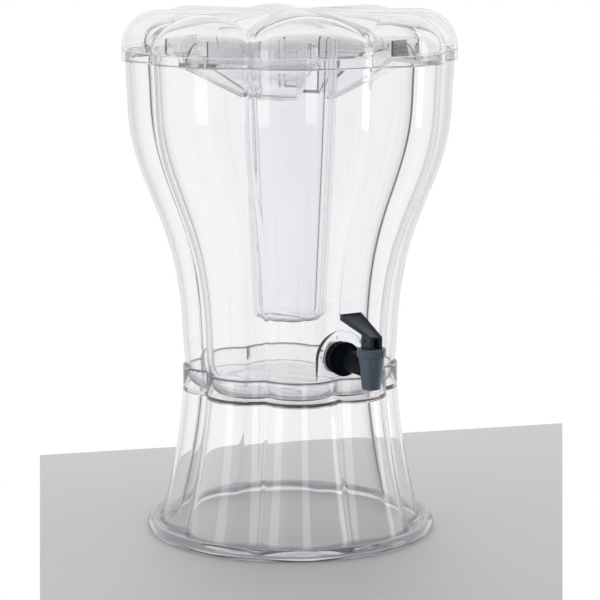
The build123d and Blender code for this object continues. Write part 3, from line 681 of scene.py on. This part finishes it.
# the thread fades over its runOut before the flange; pole is the small disc that closes the barrel
# at its axis
tap = {"height": 174.5, "reach": 141.6, "threadEnd": 71.5, "threadRadius": 8.0, "threadPitch": 2.0,
       "threadDepth": 0.55, "threadRows": 120, "threadGap": 0.1, "runOut": 2.0, "runOutGap": 1.0,
       "flangeBack": 93.5, "flangeFront": 98.0, "flangeRadius": 15.5, "flangeCone": 3.0, "neckRadius": 8.8,
       "neckLength": 13.0, "shankRadius": 9.8, "edge": 0.7, "barrelBottom": 155.5, "barrelTop": 184.5,
       "barrelBottomRadius": 8.2, "barrelTopRadius": 11.2, "barrelEdge": 1.2, "coneMargin": 0.3,
       "bossRadius": 9.6, "bossTop": 189.0, "pole": 0.5, "outletRadius": 4.6, "seatLevel": 164.0,
       "waterway": 5.0, "waterwayStop": 8.0, "overrun": 5.0}
shankFrame = {"origin": (0, 0, tap["height"]), "axis": (0, -1, 0), "side": (1, 0, 0)}
barrelFrame = {"origin": (0, -tap["reach"], 0), "axis": (0, 0, 1), "side": (1, 0, 0)}


# screw thread: the radius falls by the thread's depth times a wave that winds once round for each pitch
def threadWave(along, turn):
    share = np.clip((tap["flangeBack"] - tap["runOutGap"] - along) / tap["runOut"], 0, 1)
    return -share * tap["threadDepth"] * (0.5 + 0.5 * np.cos(2 * math.pi * along / tap["threadPitch"] - turn))


def buildSpigotBody():
    back, front = tap["flangeBack"], tap["flangeFront"]
    thread = np.linspace(tap["threadEnd"], back - tap["threadGap"], tap["threadRows"])
    threadRows = np.stack([thread, np.full(len(thread), tap["threadRadius"])], axis=-1)
    neckEnd = front + tap["neckLength"]
    shank = roundedProfile([threadRows[-1], (back, tap["threadRadius"]), (back, tap["flangeRadius"]),
                            (front, tap["flangeRadius"]), (front, tap["neckRadius"] + tap["flangeCone"]),
                            (front + tap["flangeCone"], tap["neckRadius"]), (neckEnd, tap["neckRadius"]),
                            (neckEnd, tap["shankRadius"]), (tap["reach"], tap["shankRadius"])], tap["edge"])
    piece = revolved("blackTapBody", np.concatenate([threadRows[:-1], shank]), shankFrame, wave=threadWave)
    low, high = tap["barrelBottom"], tap["barrelTop"]
    barrel = roundedProfile([(low, tap["pole"]), (low, tap["barrelBottomRadius"]),
                             (high, tap["barrelTopRadius"]), (high, tap["bossRadius"]),
                             (tap["bossTop"], tap["bossRadius"]),
                             (tap["bossTop"], tap["pole"])], tap["barrelEdge"])
    carve(piece, revolved("barrel", barrel, barrelFrame), "UNION")
    outlet = [(low - tap["overrun"], tap["outletRadius"]), (tap["seatLevel"], tap["outletRadius"])]
    carve(piece, revolved("outlet", outlet, barrelFrame, turnSteps["bore"]), "DIFFERENCE")
    waterway = [(tap["threadEnd"] - tap["overrun"], tap["waterway"]),
                (tap["reach"] - tap["waterwayStop"], tap["waterway"])]
    carve(piece, revolved("waterway", waterway, shankFrame, turnSteps["bore"]), "DIFFERENCE")
    finishPiece(piece, barrelPlastic, "spigot_body")
    # painted shade: flange, neck and shank lie outside the barrel's cone and take a shaded copy of the
    # plastic, a deeper black with less sheen
    mesh = piece.data
    centers = np.empty(len(mesh.polygons) * 3)
    mesh.polygons.foreach_get("center", centers)
    across, along, level = centers.reshape(-1, 3).T / mm
    cone = np.interp(level, [low, high], [tap["barrelBottomRadius"], tap["barrelTopRadius"]])
    mesh.materials.append(paintedShadeNeckPlastic)
    isNeck = np.hypot(across, along + tap["reach"]) > cone + tap["coneMargin"]
    mesh.polygons.foreach_set("material_index", isNeck.astype(np.int32))


# merge is in metres, the two angles in degrees
bevelled = {"merge": 2e-6, "flatAngle": 1, "edgeAngle": 30, "segments": 3}


# small piece in its node's own shape: the mesh merged, flat faces joined, and edges rounded by a narrow bevel
def roundedNode(name, node, material, width, body=None):
    source = bmesh.new()
    source.from_mesh(nodes[node].data)
    bmesh.ops.remove_doubles(source, verts=source.verts, dist=bevelled["merge"])
    flatAngle = math.radians(bevelled["flatAngle"])
    bmesh.ops.dissolve_limit(source, angle_limit=flatAngle, verts=source.verts, edges=source.edges)
    mesh = bpy.data.meshes.new(name)
    source.to_mesh(mesh)
    source.free()
    piece = bpy.data.objects.new(name, mesh)
    scene.collection.objects.link(piece)
    bevel = piece.modifiers.new("edges", "BEVEL")
    bevel.width = width * mm
    bevel.segments = bevelled["segments"]
    bevel.limit_method = "ANGLE"
    bevel.angle_limit = math.radians(bevelled["edgeAngle"])
    bakeModifiers(piece)
    finishPiece(piece, material, node, body=body)
    return piece


# silicone bell under the bonnet: it rides with the vessel body on its own copy of the mesh
bell = {"top": 188.7, "foot": 164.0, "lift": 2.2, "edge": 0.15}


def buildBell():
    piece = roundedNode("siliconeBell", "seat_cup", greySilicone, bell["edge"], body="vessel")
    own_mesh(piece)


# node, finish and width of the rounded edges
smallPieces = {"blackBonnet": ("spigot_bonnet", barrelPlastic, 0.35),
               "blackLever": ("lever", leverPlastic, 0.5),
               "lockNut": ("lock_nut", greyPlastic, 0.6),
               "outerWasher": ("outer_gasket", blackRubber, 0.4),
               "innerWasher": ("inner_gasket", blackRubber, 0.4)}

buildBase()
buildTank()
buildLid()
buildIceTube()
buildSpigotBody()
for name, (node, material, width) in smallPieces.items():
    roundedNode(name, node, material, width)
buildBell()
for node in ("lever_pin", "spigot_stem"):
    nodes[node].data.materials.clear()
    nodes[node].data.materials.append(pinPlastic)


# floor: a pale panel, its back edge slanting across behind the pedestal
panel = {"corners": ((-265, 273), (305, 424), (228, -241), (-210, -241)), "turn": -30.0, "level": -0.2,
         "color": (0.455, 0.445, 0.449), "roughness": 0.6, "specular": 0.2}


def buildFloor():
    turn = math.radians(panel["turn"])
    spin = np.array([[math.cos(turn), -math.sin(turn)], [math.sin(turn), math.cos(turn)]])
    corners = np.array(panel["corners"], dtype=float) @ spin.T
    points = np.concatenate([corners, np.full((len(corners), 1), panel["level"])], axis=1) * mm
    mesh = bpy.data.meshes.new("floor")
    mesh.from_pydata(points.tolist(), [], [(3, 2, 1, 0)])
    floor = bpy.data.objects.new("floor", mesh)
    scene.collection.objects.link(floor)
    material, tree, output = emptyMaterial("paleFloor")
    shader = tree.nodes.new("ShaderNodeBsdfPrincipled")
    shader.inputs["Base Color"].default_value = (*panel["color"], 1)
    shader.inputs["Roughness"].default_value = panel["roughness"]
    shader.inputs["Specular IOR Level"].default_value = panel["specular"]
    tree.links.new(shader.outputs["BSDF"], output.inputs["Surface"])
    mesh.materials.append(material)


studio = {"white": 1.0, "diffuse": 0.86, "ceiling": 0.82, "ceilingFrom": 0.50, "ceilingTo": 0.95,
          "front": 0.12, "frontFrom": 0.2, "frontTo": 0.75}


# a level that runs smoothly from one value to another as one part of the ray's direction grows
def directionRamp(tree, part, limits, levels):
    ramp = tree.nodes.new("ShaderNodeMapRange")
    ramp.interpolation_type = "SMOOTHSTEP"
    for socket, value in zip(("From Min", "From Max", "To Min", "To Max"), (*limits, *levels)):
        ramp.inputs[socket].default_value = value
    tree.links.new(part, ramp.inputs["Value"])
    return ramp.outputs["Result"]


# white all round for the camera; glass sees it darken towards the ceiling, gloss towards the dark room
# in front, and stray light meets its own dim level
def buildWorld():
    world = bpy.data.worlds.new("studio")
    scene.world = world
    world.use_nodes = True
    tree = world.node_tree
    tree.nodes.clear()
    make, link = tree.nodes.new, tree.links.new
    output, background, lightPath = newNodes(tree, "OutputWorld", "Background", "LightPath")
    place, split = newNodes(tree, "TexCoord", "SeparateXYZ")
    link(place.outputs["Generated"], split.inputs["Vector"])
    white = studio["white"]
    upward, forward = (studio["ceilingFrom"], studio["ceilingTo"]), (-studio["frontTo"], -studio["frontFrom"])
    above = directionRamp(tree, split.outputs["Z"], upward, (white, studio["ceiling"]))
    ahead = directionRamp(tree, split.outputs["Y"], forward, (studio["front"], white))
    seenBy = {"Is Glossy Ray": ahead, "Is Transmission Ray": above, "Is Camera Ray": white}
    choices = [(lightPath.outputs[ray], seen) for ray, seen in seenBy.items()]
    choices.append((strayShare(tree, lightPath), stray["level"]))
    level = studio["diffuse"]
    for ray, seen in choices:
        choice = make("ShaderNodeMix")
        link(ray, choice.inputs["Factor"])
        for socket, value in (("A", level), ("B", seen)):
            if isinstance(value, float):
                choice.inputs[socket].default_value = value
            else:
                link(value, choice.inputs[socket])
        level = choice.outputs["Result"]
    background.inputs["Color"].default_value = (1, 1, 1, 1)
    link(level, background.inputs["Strength"])
    link(background.outputs["Background"], output.inputs["Surface"])


# a broad soft lamp above, and tall boxes that draw upright streaks on the lobes and on the tap's barrel
lamps = {"key": {"place": (0.6, 1.5, 1.9), "size": (1.3, 1.3), "watts": 30.0},
         "frontBox": {"place": (-0.8, -2.6, 0.6), "size": (0.7, 1.6), "watts": 9.0},
         "leftBox": {"place": (-2.6, -0.4, 0.6), "size": (0.9, 1.6), "watts": 9.0},
         "rightBox": {"place": (2.4, -1.2, 0.6), "size": (0.6, 1.6), "watts": 9.0}}
lampAim = Vector((0, 0, 0.25))


def buildLamps():
    for name, lamp in lamps.items():
        light = bpy.data.lights.new(name, "AREA")
        light.energy = lamp["watts"]
        light.shape = "RECTANGLE"
        light.size, light.size_y = lamp["size"]
        holder = bpy.data.objects.new(name, light)
        holder.location = lamp["place"]
        holder.rotation_euler = (lampAim - holder.location).to_track_quat("-Z", "Y").to_euler()
        holder.visible_camera = False
        holder.visible_transmission = False
        holder.visible_glossy = name != "key"
        scene.collection.objects.link(holder)


# camera as fitted to the photograph: distance and height of the eye, turn about the axis, tilt down,
# and focal length, frame and centre in pixels; the sensor is in millimetres, the farthest distance in metres
eye = {"distance": 2103.96, "height": 578.07, "turn": -30.0, "tilt": 9.829, "focal": 2308.0, "frame": 600.0,
       "center": 290.5, "sensor": 36.0, "farthest": 20.0}


def buildCamera():
    camera = bpy.data.cameras.new("camera")
    holder = bpy.data.objects.new("camera", camera)
    scene.collection.objects.link(holder)
    turn, tilt = math.radians(eye["turn"]), math.radians(eye["tilt"])
    holder.location = Vector((math.sin(turn), -math.cos(turn), 0)) * eye["distance"] * mm
    holder.location.z = eye["height"] * mm
    holder.rotation_euler = (math.pi / 2 - tilt, 0, turn)
    camera.sensor_width = eye["sensor"]
    camera.lens = camera.sensor_width * eye["focal"] / eye["frame"]
    camera.shift_x = (eye["frame"] / 2 - eye["center"]) / eye["frame"]
    camera.clip_end = eye["farthest"]
    scene.camera = holder


# the walls lie many layers deep, so light needs room to pass through them all
bounces = {"layers": 48, "gloss": 20}

buildFloor()
buildWorld()
buildLamps()
buildCamera()
scene.view_settings.view_transform = "Standard"
scene.cycles.max_bounces = bounces["layers"]
scene.cycles.glossy_bounces = bounces["gloss"]
scene.cycles.transmission_bounces = bounces["layers"]
scene.cycles.transparent_max_bounces = bounces["layers"]
print("stage set")
